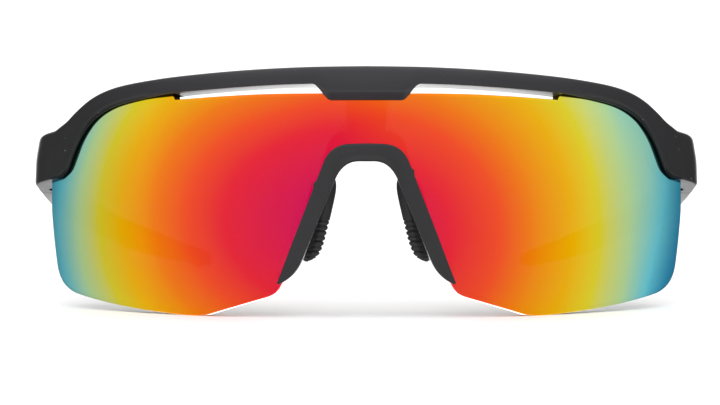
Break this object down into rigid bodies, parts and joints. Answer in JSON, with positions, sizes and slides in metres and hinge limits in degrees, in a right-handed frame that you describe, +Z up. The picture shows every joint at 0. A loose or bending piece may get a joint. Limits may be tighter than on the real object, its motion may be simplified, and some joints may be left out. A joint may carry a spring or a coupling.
{
  "type": "wraparound sport sunglasses",
  "caption": "Wraparound half-frame sport sunglasses with a mirrored shield lens, folding temples and bendable ribbed nose pads.",
  "frame": {"origin": "centre of the bounding box's bottom face, on the table that the open glasses stand on", "axes": "+X to the wearer's left, +Y from the front back along the temples, +Z up"},
  "size_m": [0.1476, 0.156, 0.0525],
  "materials": {
    "frame_plastic": "soft matt black moulded nylon",
    "mirror_lens": "polycarbonate with a red, orange, yellow, green and blue mirror coating",
    "bridge_plastic": "matt black moulded nylon",
    "carrier_plastic": "matt black moulded nylon",
    "pad_rubber": "matt ribbed soft rubber",
    "grip_rubber": "matt soft rubber",
    "steel": "turned steel",
    "brass": "turned brass"
  },
  "bodies": {
    "front": {"brow_frame": "frame_plastic", "shield_lens": "mirror_lens", "nose_bridge": "bridge_plastic", "nose_carrier": "carrier_plastic", "left_hinge_screw": "steel", "left_hinge_insert": "brass", "right_hinge_screw": "steel", "right_hinge_insert": "brass"},
    "left_arm": {"left_temple": "frame_plastic", "left_ear_grip": "grip_rubber", "left_hinge_bush": "brass"},
    "right_arm": {"right_temple": "frame_plastic", "right_ear_grip": "grip_rubber", "right_hinge_bush": "brass"},
    "left_pad": {"left_nose_pad": "pad_rubber", "left_pad_wire": "steel"},
    "right_pad": {"right_nose_pad": "pad_rubber", "right_pad_wire": "steel"}
  },
  "joints": [
    {"name": "left_temple_fold", "type": "hinge", "parent": "front", "child": "left_arm", "pos_m": [0.0699, -0.03868, 0.03078], "axis": [0, 0.0436, 0.999], "range_deg": [0, 85]},
    {"name": "right_temple_fold", "type": "hinge", "parent": "front", "child": "right_arm", "pos_m": [-0.0699, -0.03868, 0.03078], "axis": [0, -0.0436, -0.999], "range_deg": [0, 77]},
    {"name": "left_pad_bend", "type": "hinge", "parent": "front", "child": "left_pad", "pos_m": [0.0088, -0.07065, 0.02757], "axis": [0, 0.999, -0.0436], "range_deg": [-8, 8]},
    {"name": "right_pad_bend", "type": "hinge", "parent": "front", "child": "right_pad", "pos_m": [-0.0088, -0.07065, 0.02757], "axis": [0, 0.999, -0.0436], "range_deg": [-8, 8]}
  ]
}
